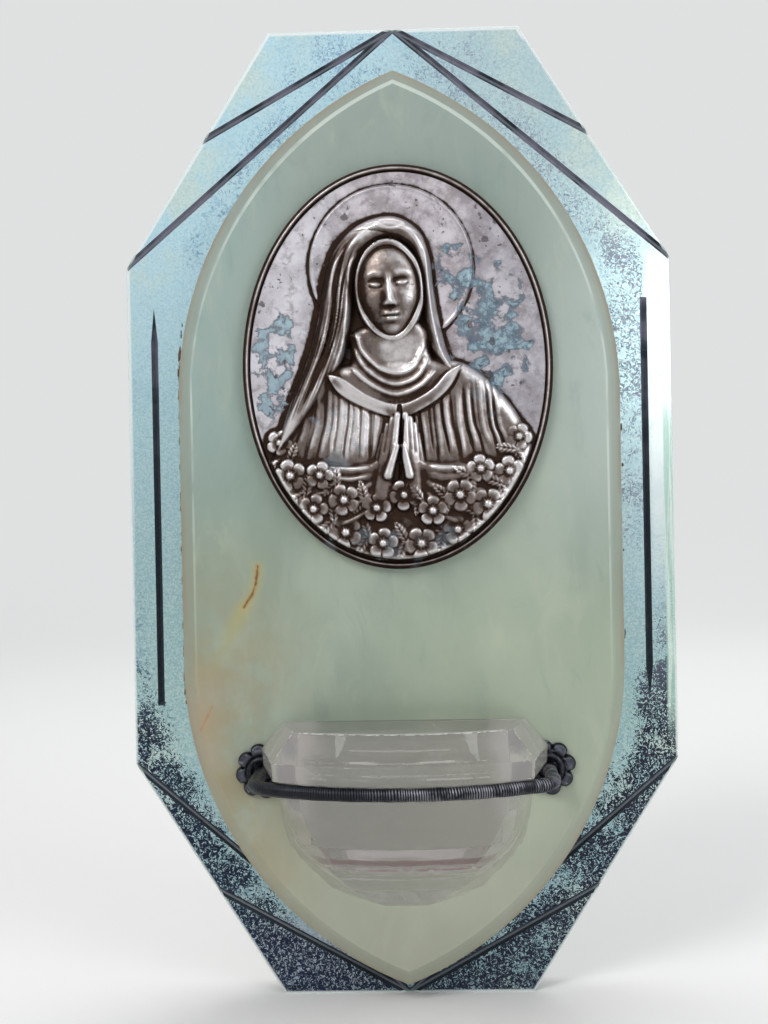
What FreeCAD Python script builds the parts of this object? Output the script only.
"""Wall-hung holy water stoup: a mirror-glass plaque with an onyx slab, a relief medal and a lift-out cup.

Frame: +X to the right, +Y towards the wall, +Z up. The origin is the centre of the felt face
that lies on the wall, so the front of the object faces -Y. All sizes are millimetres.
"""
import FreeCAD, Part
import os
import re
import Sketcher

Vector = FreeCAD.Vector
Rotation = FreeCAD.Rotation

# Driving sizes. Depths are measured towards -Y, drops are measured downwards.
SIZES = {
    # mirror plaque: an octagon with vertical sides and flat ends
    "plate_half_width": 59.2,
    "plate_half_height": 105.0,
    "plate_side_half": 54.4,
    "plate_end_half": 27.2,
    "plate_thickness": 5.0,
    # wheel-cut V grooves in the front of the glass
    "groove_width": 1.5,
    "groove_depth": 0.9,
    "groove_overrun": 3.0,
    "fan_point_rise": 27.5,
    "side_groove_inset": 5.9,
    "side_groove_head": 45.6,
    "side_groove_foot": 41.5,
    # felt and fibre board behind the glass
    "felt_thickness": 0.8,
    "felt_inset": 1.5,
    "board_thickness": 4.0,
    "board_inset": 2.0,
    "board_head_drop": 21.0,
    # onyx slab, an oblong with a pointed arch at each end, on a bed of cement
    "onyx_half_width": 47.0,
    "onyx_half_height": 97.5,
    "onyx_arch_rise": 69.0,
    "onyx_shift": -3.5,
    "onyx_thickness": 9.0,
    "onyx_chamfer": 2.0,
    "cement_thickness": 0.4,
    "cement_inset": 3.0,
    # oval medal
    "medal_half_width": 32.7,
    "medal_half_height": 42.6,
    "medal_height": 30.6,
    "medal_depth": 2.0,
    "medal_wall": 1.2,
    "rim_width": 1.3,
    "rim_rise": 0.8,
    "medal_plate_thickness": 0.8,
    "medal_plate_gap": 0.1,
    "halo_radius": 17.3,
    "halo_rise": 0.4,
    "halo_height": 51.4,
    "head_half_width": 8.6,
    "head_half_height": 13.0,
    "head_rise": 4.2,
    "head_height": 48.0,
    "bust_half_width": 24.0,
    "bust_half_height": 29.0,
    "bust_rise": 3.2,
    "bust_height": 9.5,
    "medal_post_half": 16.0,
    # threaded posts, nuts and washers sunk in the board
    "post_diameter": 2.0,
    "post_gap": 0.1,
    "post_end": 0.9,
    "sink_radius": 3.6,
    "sink_depth": 2.4,
    "washer_radius": 2.5,
    "washer_thickness": 0.3,
    "nut_flats": 4.0,
    "nut_thickness": 1.6,
    # wire-wound hoop that carries the cup
    "hoop_half_span": 30.2,
    "hoop_height": -54.4,
    "hoop_core": 1.9,
    "winding_wire": 0.47,
    "winding_gap": 0.03,
    "hoop_bend": 7.0,
    "hoop_clearance": 0.3,
    # rosettes that take the ends of the hoop
    "rosette_radius": 4.4,
    "rosette_thickness": 1.4,
    "petal_count": 8,
    "petal_radius": 1.45,
    "petal_ring": 4.5,
    "petal_thickness": 1.7,
    "petal_phase": 11.0,
    "collar_radius": 3.5,
    "collar_rise": 3.0,
    "collar_bore": 2.1,
    "collar_floor": 1.0,
    # glass cup: flat back, slanted sides and a bowed front
    "cup_back_gap": 0.2,
    "cup_seat_gap": 0.3,
    "cup_bow_radius": 49.4,
    "cup_wall": 2.2,
    # hanger: a riveted strap that grips a D-shaped ring
    "strap_half_width": 3.5,
    "strap_thickness": 0.6,
    "strap_length": 9.5,
    "strap_margin": 1.5,
    "knuckle_gap": 0.3,
    "ring_wire": 1.8,
    "ring_play": 0.05,
    "ring_bar_half": 5.0,
    "ring_corner": 2.0,
    "rivet_radius": 0.9,
    "rivet_play": 0.05,
    "rivet_head_radius": 1.6,
    "rivet_tail_radius": 1.8,
    "rivet_tail_thickness": 0.6,
    "rivet_first_drop": 2.6,
    "rivet_pitch": 4.2,
}

# Plan sections of the cup: name, drop below the rim, half widths at the back and at the front,
# depth at the middle.
CUP_OUTSIDE = (
    ("rim", 0.0, 25.2, 22.0, 20.8),
    ("shoulder", 5.5, 30.0, 26.0, 27.0),
    ("band", 9.05, 29.8, 25.8, 26.8),
    ("ledge", 9.4, 27.4, 23.4, 24.2),
    ("body", 14.4, 26.9, 22.8, 23.7),
    ("turn", 20.4, 26.0, 21.4, 22.9),
    ("curve", 24.2, 25.1, 18.4, 21.9),
    ("brink", 26.3, 24.2, 16.0, 20.9),
    ("step_one", 26.6, 23.6, 15.4, 20.2),
    ("foot_one", 28.8, 22.4, 13.8, 19.2),
    ("step_two", 29.1, 21.8, 13.0, 18.5),
    ("foot_two", 31.6, 19.6, 11.0, 17.0),
    ("step_three", 31.9, 18.9, 10.2, 16.3),
    ("foot_three", 35.0, 16.0, 6.8, 12.6),
    ("base", 37.0, 11.6, 4.4, 8.0),
)

# Plan sections of the hollow, with depths from the hollow's own back wall.
CUP_HOLLOW = (
    ("mouth", 0.0, 23.2, 20.7, 16.8),
    ("waist", 15.8, 22.6, 20.0, 16.8),
    ("heel", 22.5, 20.6, 16.8, 15.8),
    ("toe", 26.5, 17.0, 13.2, 13.4),
    ("floor", 28.0, 13.0, 9.6, 10.6),
)

# Sizes that follow from the driving sizes.
DERIVED = {
    "board_head": "plate_half_height - board_head_drop",
    "board_back": "felt_thickness",
    "plate_back": "board_back + board_thickness",
    "plate_front": "plate_back + plate_thickness",
    "onyx_back": "plate_front + cement_thickness",
    "onyx_front": "onyx_back + onyx_thickness",
    "medal_field": "onyx_front + medal_depth",
    "cup_back": "onyx_front + collar_rise + cup_back_gap",
    "hoop_outer": "hoop_core + 2 * (winding_gap + winding_wire)",
    "slant_run": "plate_half_width - plate_end_half",
    "slant_rise": "plate_half_height - plate_side_half",
    "slant_length": "sqrt(slant_run ^ 2 + slant_rise ^ 2)",
    "side_shift": "(slant_length - slant_rise) / slant_run",
    "end_shift": "(slant_length - slant_run) / slant_rise",
    "arch_radius": "(onyx_half_width ^ 2 + onyx_arch_rise ^ 2) / (2 * onyx_half_width)",
    "onyx_side_half": "onyx_half_height - onyx_arch_rise",
    "cup_rim_height": "hoop_height + hoop_outer / 2 + cup_seat_gap + cup_band_drop",
    "hoop_reach": "cup_back - onyx_front + cup_ledge_depth + hoop_clearance + hoop_outer / 2",
    "hoop_bow": "cup_bow_radius + hoop_clearance + hoop_outer / 2",
    "bow_centre": "hoop_reach - hoop_bow",
    "bend_x": "hoop_half_span - hoop_bend",
    "bend_depth": "bow_centre + sqrt((hoop_bow - hoop_bend) ^ 2 - bend_x ^ 2)",
    "bend_end_x": "bend_x * hoop_bow / (hoop_bow - hoop_bend)",
    "bend_end_depth": "bow_centre + (bend_depth - bow_centre) * hoop_bow / (hoop_bow - hoop_bend)",
    "post_hole": "post_diameter / 2 + post_gap",
    "knuckle_bore": "ring_wire / 2 + ring_play",
    "knuckle_radius": "knuckle_bore + strap_thickness",
    "strap_front": "board_back - strap_thickness",
    "ring_depth": "strap_front + knuckle_radius",
    "ring_height": "board_head + knuckle_radius + knuckle_gap",
    "ring_half": "ring_bar_half + ring_corner",
}

POST_PLACES = (
    ("-medal_post_half", "medal_height"),
    ("medal_post_half", "medal_height"),
    ("-hoop_half_span", "hoop_height"),
    ("hoop_half_span", "hoop_height"),
)
MEDAL_POSTS = POST_PLACES[:2]
HOOP_POSTS = POST_PLACES[2:]
RIVET_DROPS = ("rivet_first_drop", "rivet_first_drop + rivet_pitch")
ALIAS = re.compile(r"\b[a-z]+(?:_[a-z0-9]+)+\b")

doc = FreeCAD.newDocument("holy_water_stoup")
sheet = doc.addObject("Spreadsheet::Sheet", "sizes")
sub_parts = []


def fill_sheet():
    """Write every driving size and every formula into its own cell with an alias."""
    cells = dict(SIZES)
    for table in (CUP_OUTSIDE, CUP_HOLLOW):
        for name, drop, back_half, front_half, depth in table:
            cells["cup_%s_drop" % name] = drop
            cells["cup_%s_back_half" % name] = back_half
            cells["cup_%s_front_half" % name] = front_half
            cells["cup_%s_depth" % name] = depth
    cells.update({name: "=" + formula for name, formula in DERIVED.items()})
    for table in (CUP_OUTSIDE, CUP_HOLLOW):
        for section in table:
            cells["cup_%s_corner" % section[0]] = "=" + corner_depth(section[0])
    for row, (name, content) in enumerate(cells.items(), start=1):
        sheet.set("A%d" % row, name)
        sheet.set("B%d" % row, str(content))
        sheet.setAlias("B%d" % row, name)
    doc.recompute()


def corner_depth(name):
    """Depth at which a section's bowed front ends, beside the middle's depth."""
    return "cup_{0}_depth - cup_bow_radius + sqrt(cup_bow_radius ^ 2 - cup_{0}_front_half ^ 2)".format(name)


def in_sheet(expression):
    """The same expression with each alias named through the sheet."""
    return ALIAS.sub(lambda match: "sizes." + match.group(), expression)


def value(expression):
    return float(sheet.evalExpression(in_sheet(expression)))


def bind(item, path, expression):
    item.setExpression(path, in_sheet(expression))


def sub_part(item, label):
    """Keep an object as a sub-part that gets a file of its own."""
    item.Label = label
    sub_parts.append(item)
    return item


# --- sketches and features -------------------------------------------------------------------

def new_body(name):
    return doc.addObject("PartDesign::Body", name)


def new_sketch(body, name, role, offset="0"):
    """A sketch on one of the body's origin planes, moved along that plane's normal."""
    sketch = body.newObject("Sketcher::SketchObject", name)
    plane = [item for item in body.Origin.OriginFeatures if item.Role == role][0]
    sketch.AttachmentSupport = [(plane, "")]
    sketch.MapMode = "FlatFace"
    bind(sketch, "AttachmentOffset.Base.z", offset)
    return sketch


def constrain(sketch, kind, expression, *target):
    index = sketch.addConstraint(Sketcher.Constraint(kind, *target, value(expression)))
    bind(sketch, "Constraints[%d]" % index, expression)


def arc_through(start, end, radius, side):
    """Minor arc from start to end that bulges to the right (side 1) or left (side -1) of the chord."""
    chord = end - start
    outward = Vector(chord.y, -chord.x, 0) * (side / chord.Length)
    sagitta = radius - max(radius ** 2 - chord.Length ** 2 / 4, 0) ** 0.5
    return Part.Arc(start, (start + end) / 2 + outward * sagitta, end)


def draw_path(sketch, corners, arcs=None, closed=True):
    """Pin each corner by two sizes and join them by lines, or by arcs of (radius, side)."""
    arcs = arcs or {}
    points = [Vector(value(x), value(y), 0) for x, y in corners]
    edge_count = len(points) if closed else len(points) - 1
    ends = []
    for index in range(edge_count):
        start, end = points[index], points[(index + 1) % len(points)]
        if index in arcs:
            radius, side = arcs[index]
            edge = sketch.addGeometry(arc_through(start, end, value(radius), side), False)
            constrain(sketch, "Radius", radius, edge)
        else:
            edge = sketch.addGeometry(Part.LineSegment(start, end), False)
        first = 1 if (sketch.getPoint(edge, 1) - start).Length < 1e-6 else 2
        ends.append((edge, first, 3 - first))
    for index, (edge, first, last) in enumerate(ends):
        pin_point(sketch, edge, first, corners[index])
        if index + 1 < len(ends) or closed:
            following = ends[(index + 1) % len(ends)]
            sketch.addConstraint(Sketcher.Constraint("Coincident", edge, last, following[0], following[1]))
        else:
            pin_point(sketch, edge, last, corners[-1])


def pin_point(sketch, edge, position, corner):
    constrain(sketch, "DistanceX", corner[0], -1, 1, edge, position)
    constrain(sketch, "DistanceY", corner[1], -1, 1, edge, position)


def draw_circles(sketch, centres, radius):
    for x, y in centres:
        circle = Part.Circle(Vector(value(x), value(y), 0), Vector(0, 0, 1), value(radius))
        edge = sketch.addGeometry(circle, False)
        pin_point(sketch, edge, 3, (x, y))
        constrain(sketch, "Radius", radius, edge)


def add_pad(body, sketch, length):
    pad = body.newObject("PartDesign::Pad", sketch.Name + "_pad")
    pad.Profile = sketch
    bind(pad, "Length", length)
    return pad


def add_through_pocket(body, sketch):
    pocket = body.newObject("PartDesign::Pocket", sketch.Name + "_pocket")
    pocket.Profile = sketch
    pocket.Type = "ThroughAll"
    pocket.Midplane = True


def add_blind_pocket(body, sketch, depth):
    """A pocket whose floor lies further along the sketch's normal, on the -Y side."""
    pocket = body.newObject("PartDesign::Pocket", sketch.Name + "_pocket")
    pocket.Profile = sketch
    pocket.Reversed = True
    bind(pocket, "Length", depth)


def add_pipe(body, spine, profile):
    pipe = body.newObject("PartDesign::AdditivePipe", spine.Name + "_pipe")
    pipe.Profile = profile
    pipe.Spine = spine


def slab(name, back, thickness, corners, arcs=None):
    """A flat piece: its outline is drawn in X and Z and its back lies at the given depth."""
    body = new_body(name)
    outline = new_sketch(body, name + "_outline", "XZ_Plane", back)
    draw_path(outline, corners, arcs)
    add_pad(body, outline, thickness)
    return body


def drill(body, name, places, radius):
    holes = new_sketch(body, name, "XZ_Plane")
    draw_circles(holes, places, radius)
    add_through_pocket(body, holes)


# --- primitives ------------------------------------------------------------------------------

ALONG_Y = Rotation(Vector(1, 0, 0), -90)


def place(item, x, depth, z, rotation=None):
    """Set an object at x, at a depth in front of the wall and at a height."""
    if rotation:
        item.Placement = FreeCAD.Placement(Vector(), rotation)
    bind(item, "Placement.Base.x", x)
    bind(item, "Placement.Base.y", "-(%s)" % depth)
    bind(item, "Placement.Base.z", z)
    return item


def round_bar(name, radius, front, back, x, z):
    """A cylinder along Y from a front depth to a back depth."""
    bar = doc.addObject("Part::Cylinder", name)
    bind(bar, "Radius", radius)
    bind(bar, "Height", "%s - (%s)" % (front, back))
    return place(bar, x, front, z, ALONG_Y)


def cut(name, base, tool):
    result = doc.addObject("Part::Cut", name)
    result.Base = base
    result.Tool = tool
    return result


def fuse(name, shapes):
    result = doc.addObject("Part::MultiFuse", name)
    result.Shapes = shapes
    return result


def group(name, shapes):
    result = doc.addObject("Part::Compound", name)
    result.Links = shapes
    return result


def oval_block(name, half_width, half_height, back, thickness):
    """An upright ellipse, drawn around the medal's centre and extruded towards the front."""
    curve = doc.addObject("Part::Ellipse", name + "_curve")
    bind(curve, "MajorRadius", half_height)
    bind(curve, "MinorRadius", half_width)
    place(curve, "0", back, "medal_height", Rotation(Vector(1, 1, 1), -120))
    block = doc.addObject("Part::Extrusion", name)
    block.Base = curve
    block.DirMode = "Custom"
    block.Dir = Vector(0, -1, 0)
    block.Solid = True
    bind(block, "LengthFwd", thickness)
    return block


# --- mirror plaque, board and felt -----------------------------------------------------------

def octagon(inset):
    """Corners of the plaque's octagon, moved inwards by an inset on every side."""
    side_x = "plate_half_width - (%s)" % inset
    side_z = "(plate_side_half - (%s) * side_shift)" % inset
    end_x = "(plate_end_half - (%s) * end_shift)" % inset
    end_z = "(plate_half_height - (%s))" % inset
    upper = [(side_x, side_z), (end_x, end_z), ("-" + end_x, end_z), ("-(%s)" % side_x, side_z)]
    lower = [(x, "-" + z) for x, z in reversed(upper)]
    return upper + lower


def board_outline(inset):
    """The inset octagon with its head cut off level, where the hanger needs room."""
    corners = octagon(inset)
    side_x, side_z = corners[0]
    head_x = "(%s - (board_head - %s) * slant_run / slant_rise)" % (side_x, side_z)
    corners[1] = (head_x, "board_head")
    corners[2] = ("-" + head_x, "board_head")
    return corners


def groove(name, start, end):
    """A V-shaped cutter along the front of the glass from one point to another."""
    run = "(%s - (%s))" % (end[0], start[0])
    rise = "(%s - (%s))" % (end[1], start[1])
    length = "sqrt(%s ^ 2 + %s ^ 2)" % (run, rise)
    wedge = doc.addObject("Part::Wedge", name)
    bind(wedge, "Xmin", "-groove_width / 2")
    bind(wedge, "Xmax", "groove_width / 2")
    bind(wedge, "Ymax", "groove_depth")
    bind(wedge, "Zmax", length)
    bind(wedge, "Z2min", "groove_depth")
    bind(wedge, "Z2max", length + " - groove_depth")
    for path in ("Ymin", "Zmin", "X2min", "X2max"):
        setattr(wedge, path, 0)
    wedge.Placement = FreeCAD.Placement(Vector(), Rotation(Vector(0, 1, 0), 1))
    bind(wedge, "Placement.Rotation.Angle", "atan2(%s; %s)" % (run, rise))
    return place(wedge, start[0], "plate_front", start[1])


def fan_cutters(side, end):
    """Two grooves from the middle of one end: one to the corner, one to the slanted edge."""
    corner = ("plate_half_width", "plate_side_half")
    slant_x = "plate_half_width - fan_point_rise * slant_run / slant_rise"
    middle = (slant_x, "plate_side_half + fan_point_rise")
    cutters = []
    for label, (x, z) in (("corner", corner), ("middle", middle)):
        # The run past the edge follows the groove's own slope.
        stretch = "(1 + groove_overrun / (%s))" % x
        target_x = "%d * (%s) * %s" % (side, x, stretch)
        target_z = "%d * (plate_half_height - (plate_half_height - (%s)) * %s)" % (end, z, stretch)
        start_x = "%d * -groove_overrun" % side
        start_z = "%d * (plate_half_height + (plate_half_height - (%s)) * groove_overrun / (%s))" % (end, z, x)
        name = "fan_%s_%s_%s" % (label, "right" if side > 0 else "left", "head" if end > 0 else "foot")
        cutters.append(groove(name, (start_x, start_z), (target_x, target_z)))
    return cutters


def make_mirror_plate():
    glass = slab("mirror_glass", "plate_back", "plate_thickness", octagon("0"))
    drill(glass, "mirror_holes", POST_PLACES, "post_hole")
    cutters = []
    for side in (-1, 1):
        x = "%d * (plate_half_width - side_groove_inset)" % side
        name = "side_groove_right" if side > 0 else "side_groove_left"
        cutters.append(groove(name, (x, "-side_groove_foot"), (x, "side_groove_head")))
        for end in (-1, 1):
            cutters += fan_cutters(side, end)
    sub_part(cut("grooved_glass", glass, fuse("groove_cutters", cutters)), "mirror_plate")


def make_backing_board():
    board = slab("board_blank", "board_back", "board_thickness", board_outline("board_inset"))
    drill(board, "board_holes", POST_PLACES, "post_hole")
    sinks = new_sketch(board, "board_sinks", "XZ_Plane", "board_back")
    draw_circles(sinks, POST_PLACES, "sink_radius")
    add_blind_pocket(board, sinks, "sink_depth")
    rivet_places = [("0", "board_head - (%s)" % drop) for drop in RIVET_DROPS]
    drill(board, "board_rivet_holes", rivet_places, "rivet_radius + rivet_play")
    tails = [
        round_bar("tail_sink_%d" % index, "rivet_tail_radius + rivet_play", "plate_back",
                  "plate_back - rivet_tail_thickness - rivet_play", x, z)
        for index, (x, z) in enumerate(rivet_places)
    ]
    sub_part(cut("sunk_board", board, fuse("tail_sinks", tails)), "backing_board")


def make_felt():
    """Felt with a notch around the hanger strap and holes over the nuts."""
    corners = board_outline("board_inset + felt_inset")
    corners[1] = (corners[1][0], "(board_head - felt_inset)")
    corners[2] = (corners[2][0], "(board_head - felt_inset)")
    notch_x = "(strap_half_width + strap_margin)"
    notch_z = "(board_head - strap_length - strap_margin)"
    notch = [(notch_x, corners[1][1]), (notch_x, notch_z),
             ("-" + notch_x, notch_z), ("-" + notch_x, corners[1][1])]
    felt = slab("felt_sheet", "0", "felt_thickness", corners[:2] + notch + corners[2:])
    drill(felt, "felt_holes", POST_PLACES, "sink_radius")
    sub_part(felt, "felt_backing")


# --- onyx and its cement ---------------------------------------------------------------------

def pointed_oblong(name, back, thickness, inset):
    """A slab with straight sides and an arch of two arcs, meeting in a point, at each end."""
    side_x = "(onyx_half_width - (%s))" % inset
    radius = "(arch_radius - (%s))" % inset
    rise = "sqrt(%s ^ 2 - (arch_radius - onyx_half_width) ^ 2)" % radius
    upper, lower = "(onyx_shift + onyx_side_half)", "(onyx_shift - onyx_side_half)"
    corners = [
        (side_x, lower),
        (side_x, upper),
        ("0", "%s + %s" % (upper, rise)),
        ("-" + side_x, upper),
        ("-" + side_x, lower),
        ("0", "%s - %s" % (lower, rise)),
    ]
    arcs = {1: (radius, 1), 2: (radius, 1), 4: (radius, 1), 5: (radius, 1)}
    body = slab(name, back, thickness, corners, arcs)
    drill(body, name + "_holes", POST_PLACES, "post_hole")
    return body


def make_onyx_slab():
    body = pointed_oblong("onyx_blank", "onyx_back", "onyx_thickness", "0")
    doc.recompute()
    front_y = -value("onyx_front")
    faces = body.Tip.Shape.Faces
    front = [index for index, face in enumerate(faces, start=1)
             if abs(face.BoundBox.YMin - front_y) < 1e-6 and abs(face.BoundBox.YMax - front_y) < 1e-6]
    edges = outer_edges(body.Tip.Shape, faces[front[0] - 1])
    chamfer = body.newObject("PartDesign::Chamfer", "onyx_bevel")
    chamfer.Base = (chamfer.BaseFeature, edges)
    bind(chamfer, "Size", "onyx_chamfer")
    sub_part(body, "onyx_slab")


def outer_edges(shape, face):
    """Names of the edges around the outside of a face, without those of its holes."""
    outer = face.OuterWire.Edges
    return ["Edge%d" % index for index, edge in enumerate(shape.Edges, start=1)
            if any(edge.isSame(other) for other in outer)]


def make_cement_bed():
    sub_part(pointed_oblong("cement_sheet", "plate_front", "cement_thickness", "cement_inset"),
             "onyx_cement_bed")


# --- medal -----------------------------------------------------------------------------------

def ellipsoid(name, half_width, half_height, rise, z):
    item = doc.addObject("Part::Ellipsoid", name)
    bind(item, "Radius1", half_height)
    bind(item, "Radius2", half_width)
    bind(item, "Radius3", rise)
    return place(item, "0", "medal_field", z)


def make_medal_face():
    """Dished oval with a raised rim and the main masses of the relief: halo, head and bust."""
    blank = oval_block("medal_blank", "medal_half_width", "medal_half_height",
                       "onyx_front", "medal_depth + rim_rise")
    dish = oval_block("medal_dish", "medal_half_width - rim_width", "medal_half_height - rim_width",
                      "medal_field", "2 * rim_rise")
    recess = oval_block("medal_recess", "medal_half_width - medal_wall", "medal_half_height - medal_wall",
                        "onyx_front - medal_plate_gap", "medal_plate_thickness + 2 * medal_plate_gap")
    shell = cut("medal_shell", blank, fuse("medal_hollows", [dish, recess]))
    masses = fuse("relief_masses", [
        round_bar("halo", "halo_radius", "medal_field + halo_rise", "medal_field", "0", "halo_height"),
        ellipsoid("head", "head_half_width", "head_half_height", "head_rise", "head_height"),
        ellipsoid("bust", "bust_half_width", "bust_half_height", "bust_rise", "bust_height"),
    ])
    frame = oval_block("relief_frame", "medal_half_width - rim_width / 2",
                       "medal_half_height - rim_width / 2", "medal_field - rim_rise / 4",
                       "head_rise + bust_rise")
    relief = doc.addObject("Part::Common", "relief")
    relief.Base = masses
    relief.Tool = frame
    sub_part(fuse("medal_casting", [shell, relief]), "medal_face")


def make_medal_back_plate():
    inset = "medal_wall + medal_plate_gap"
    plate = oval_block("medal_plate", "medal_half_width - " + inset.replace("+", "-"),
                       "medal_half_height - " + inset.replace("+", "-"),
                       "onyx_front", "medal_plate_thickness")
    sub_part(plate, "medal_back_plate")


# --- posts, nuts and washers -----------------------------------------------------------------

def make_medal_posts():
    posts = [round_bar("medal_post_%d" % index, "post_diameter / 2", "onyx_front", "post_end", x, z)
             for index, (x, z) in enumerate(MEDAL_POSTS)]
    sub_part(group("medal_post_pair", posts), "medal_posts")


def make_fasteners(owner, places, bore_radius):
    """Washer and hexagon nut on each post, sunk in the back of the board."""
    washer_back = "board_back + sink_depth - washer_thickness"
    washers, nuts = [], []
    for index, (x, z) in enumerate(places):
        tag = "%s_%d" % (owner, index)
        bore = round_bar("bore_" + tag, bore_radius, "board_back + sink_depth + post_gap", "0", x, z)
        disc = round_bar("disc_" + tag, "washer_radius", "board_back + sink_depth", washer_back, x, z)
        washers.append(cut("washer_" + tag, disc, bore))
        hexagon = doc.addObject("Part::Prism", "hexagon_" + tag)
        hexagon.Polygon = 6
        bind(hexagon, "Circumradius", "nut_flats / sqrt(3)")
        bind(hexagon, "Height", "nut_thickness")
        place(hexagon, x, washer_back, z, ALONG_Y)
        nuts.append(cut("nut_" + tag, hexagon, bore))
    sub_part(group(owner + "_washer_pair", washers), owner + "_washers")
    sub_part(group(owner + "_nut_pair", nuts), owner + "_nuts")


# --- hoop and rosettes -----------------------------------------------------------------------

def hoop_piece(name, start_depth, radii):
    """A pipe along the hoop: two legs, two bends and a bowed front."""
    body = new_body(name)
    spine = new_sketch(body, name + "_spine", "XY_Plane", "hoop_height")
    right = [
        ("hoop_half_span", "-(%s)" % start_depth),
        ("hoop_half_span", "-onyx_front - bend_depth"),
        ("bend_end_x", "-onyx_front - bend_end_depth"),
    ]
    left = [("-" + x, y) for x, y in reversed(right)]
    draw_path(spine, right + left, {1: ("hoop_bend", -1), 2: ("hoop_bow", -1), 3: ("hoop_bend", -1)},
              closed=False)
    profile = new_sketch(body, name + "_profile", "XZ_Plane", start_depth)
    for radius in radii:
        draw_circles(profile, [("hoop_half_span", "hoop_height")], radius)
    add_pipe(body, spine, profile)
    return body


def make_hoop():
    sub_part(hoop_piece("hoop_wire", "post_end", ["hoop_core / 2"]), "hoop_rod")
    winding = hoop_piece("hoop_coil", "onyx_front + collar_floor + winding_gap",
                         ["hoop_outer / 2", "hoop_core / 2 + winding_gap"])
    sub_part(winding, "hoop_winding")


def make_rosette(side, label):
    """Petalled disc with a raised collar, around the end of the hoop."""
    body = new_body(label + "_body")
    disc = new_sketch(body, label + "_disc", "XZ_Plane")
    draw_circles(disc, [("0", "0")], "rosette_radius")
    add_pad(body, disc, "rosette_thickness")
    petal = new_sketch(body, label + "_petal", "XZ_Plane")
    draw_circles(petal, [("petal_ring * cos(petal_phase)", "petal_ring * sin(petal_phase)")], "petal_radius")
    petal_pad = add_pad(body, petal, "petal_thickness")
    petals = body.newObject("PartDesign::PolarPattern", label + "_petals")
    petals.Originals = [petal_pad]
    petals.Axis = (petal, ["N_Axis"])
    petals.Angle = 360
    bind(petals, "Occurrences", "petal_count")
    body.Tip = petals
    collar = new_sketch(body, label + "_collar", "XZ_Plane")
    draw_circles(collar, [("0", "0")], "collar_radius")
    add_pad(body, collar, "collar_rise")
    mouth = new_sketch(body, label + "_mouth", "XZ_Plane", "collar_floor")
    draw_circles(mouth, [("0", "0")], "collar_bore")
    add_blind_pocket(body, mouth, "collar_rise")
    drill(body, label + "_hole", [("0", "0")], "hoop_core / 2 + post_gap")
    place(body, "%d * hoop_half_span" % side, "onyx_front", "hoop_height")
    sub_part(body, label)


# --- cup -------------------------------------------------------------------------------------

def cup_section(body, name, back):
    """Plan of the cup at one height: straight back, slanted sides and a bowed front."""
    sketch = new_sketch(body, "cup_" + name, "XY_Plane", "cup_rim_height - cup_%s_drop" % name)
    back_x, front_x = "cup_%s_back_half" % name, "cup_%s_front_half" % name
    back_y, front_y = "-(%s)" % back, "-(%s) - cup_%s_corner" % (back, name)
    corners = [("-" + back_x, back_y), ("-" + front_x, front_y), (front_x, front_y), (back_x, back_y)]
    draw_path(sketch, corners, {1: ("cup_bow_radius", 1)})
    return sketch


def add_loft(body, kind, name, sections):
    loft = body.newObject("PartDesign::" + kind, name)
    loft.Profile = sections[0]
    loft.Sections = sections[1:]
    loft.Ruled = True


def make_cup():
    body = new_body("cup_body")
    outside = [cup_section(body, row[0], "cup_back") for row in CUP_OUTSIDE]
    add_loft(body, "AdditiveLoft", "cup_outside", outside)
    hollow = [cup_section(body, row[0], "cup_back + cup_wall") for row in CUP_HOLLOW]
    add_loft(body, "SubtractiveLoft", "cup_hollow", hollow)
    sub_part(body, "holy_water_cup")


# --- hanger ----------------------------------------------------------------------------------

def make_hanger_strap():
    """Strip on the back of the board, rolled into a knuckle around the ring's bar."""
    leaf = doc.addObject("Part::Box", "strap_leaf")
    bind(leaf, "Length", "2 * strap_half_width")
    bind(leaf, "Width", "strap_thickness")
    bind(leaf, "Height", "ring_height - board_head + strap_length")
    place(leaf, "-strap_half_width", "board_back", "board_head - strap_length")
    rolls = []
    for name, radius, reach in (("roll", "knuckle_radius", "0"), ("bore", "knuckle_bore", "strap_margin")):
        roll = doc.addObject("Part::Cylinder", "knuckle_" + name)
        bind(roll, "Radius", radius)
        bind(roll, "Height", "2 * (strap_half_width + %s)" % reach)
        rolls.append(place(roll, "-strap_half_width - " + reach, "ring_depth", "ring_height",
                           Rotation(Vector(0, 1, 0), 90)))
    tools = [rolls[1]]
    for index, drop in enumerate(RIVET_DROPS):
        tools.append(rivet_head("strap_sink_%d" % index, drop, "rivet_play"))
    sub_part(cut("strap", fuse("strap_stock", [leaf, rolls[0]]), fuse("strap_cuts", tools)), "hanger_strap")


def rivet_head(name, drop, play):
    """Countersunk head, flush with the back of the strap."""
    cone = doc.addObject("Part::Cone", name)
    bind(cone, "Radius1", "rivet_radius + " + play)
    bind(cone, "Radius2", "rivet_head_radius + " + play)
    bind(cone, "Height", "strap_thickness")
    return place(cone, "0", "board_back", "board_head - (%s)" % drop, ALONG_Y)


def make_hanger_rivets():
    rivets = []
    for index, drop in enumerate(RIVET_DROPS):
        z = "board_head - (%s)" % drop
        shank = round_bar("rivet_shank_%d" % index, "rivet_radius", "plate_back - rivet_play", "board_back", "0", z)
        tail = round_bar("rivet_tail_%d" % index, "rivet_tail_radius", "plate_back - rivet_play",
                         "plate_back - rivet_play - rivet_tail_thickness", "0", z)
        rivets.append(fuse("rivet_%d" % index, [shank, tail, rivet_head("rivet_head_%d" % index, drop, "0")]))
    sub_part(group("rivet_pair", rivets), "hanger_rivets")


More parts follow.
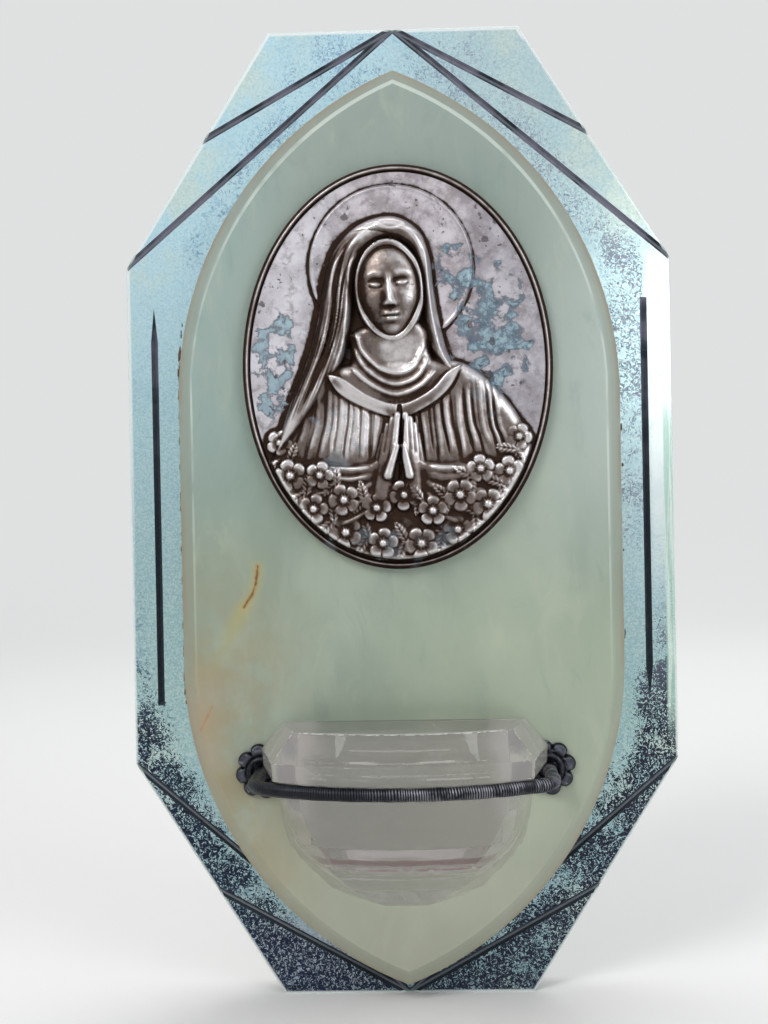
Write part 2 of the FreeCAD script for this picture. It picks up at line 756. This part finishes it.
def make_hanger_ring():
    """D-shaped ring: a straight bar in the knuckle, two corners and a half circle above."""
    body = new_body("ring_body")
    spine = new_sketch(body, "ring_spine", "XZ_Plane")
    corners = [
        ("-ring_bar_half", "0"),
        ("ring_bar_half", "0"),
        ("ring_half", "ring_corner"),
        ("0", "ring_corner + ring_half"),
        ("-ring_half", "ring_corner"),
    ]
    arcs = {1: ("ring_corner", 1), 2: ("ring_half", 1), 3: ("ring_half", 1), 4: ("ring_corner", 1)}
    draw_path(spine, corners, arcs)
    profile = new_sketch(body, "ring_profile", "YZ_Plane", "-ring_bar_half")
    draw_circles(profile, [("0", "0")], "ring_wire / 2")
    add_pipe(body, spine, profile)
    place(body, "0", "ring_depth", "ring_height")
    sub_part(body, "hanger_ring")


# --- the whole object ------------------------------------------------------------------------

def build():
    fill_sheet()
    make_felt()
    make_backing_board()
    make_mirror_plate()
    make_cement_bed()
    make_onyx_slab()
    make_medal_face()
    make_medal_back_plate()
    make_medal_posts()
    make_fasteners("medal", MEDAL_POSTS, "post_diameter / 2 + post_gap / 2")
    make_hoop()
    make_fasteners("hoop", HOOP_POSTS, "hoop_core / 2 + post_gap / 2")
    make_rosette(-1, "rosette_left")
    make_rosette(1, "rosette_right")
    make_cup()
    make_hanger_strap()
    make_hanger_rivets()
    make_hanger_ring()
    doc.recompute()


def check():
    """Stop if any object failed to compute or any sub-part has no valid solid."""
    faults = [item.Name for item in doc.Objects if {"Invalid", "Error"} & set(item.State)]
    for item in sub_parts:
        shape = item.Shape
        if shape.isNull() or not shape.isValid() or not shape.Solids:
            faults.append(item.Label)
    if faults:
        raise SystemExit("failed: " + ", ".join(faults))


def export():
    os.makedirs("parts", exist_ok=True)
    for item in sub_parts:
        item.Shape.exportStep("parts/%s.step" % item.Label)
        box = item.Shape.BoundBox
        print("%-18s solids %d  volume %9.1f  x %6.1f %6.1f  y %6.1f %6.1f  z %6.1f %6.1f" % (
            item.Label, len(item.Shape.Solids), item.Shape.Volume,
            box.XMin, box.XMax, box.YMin, box.YMax, box.ZMin, box.ZMax))


build()
check()
export()
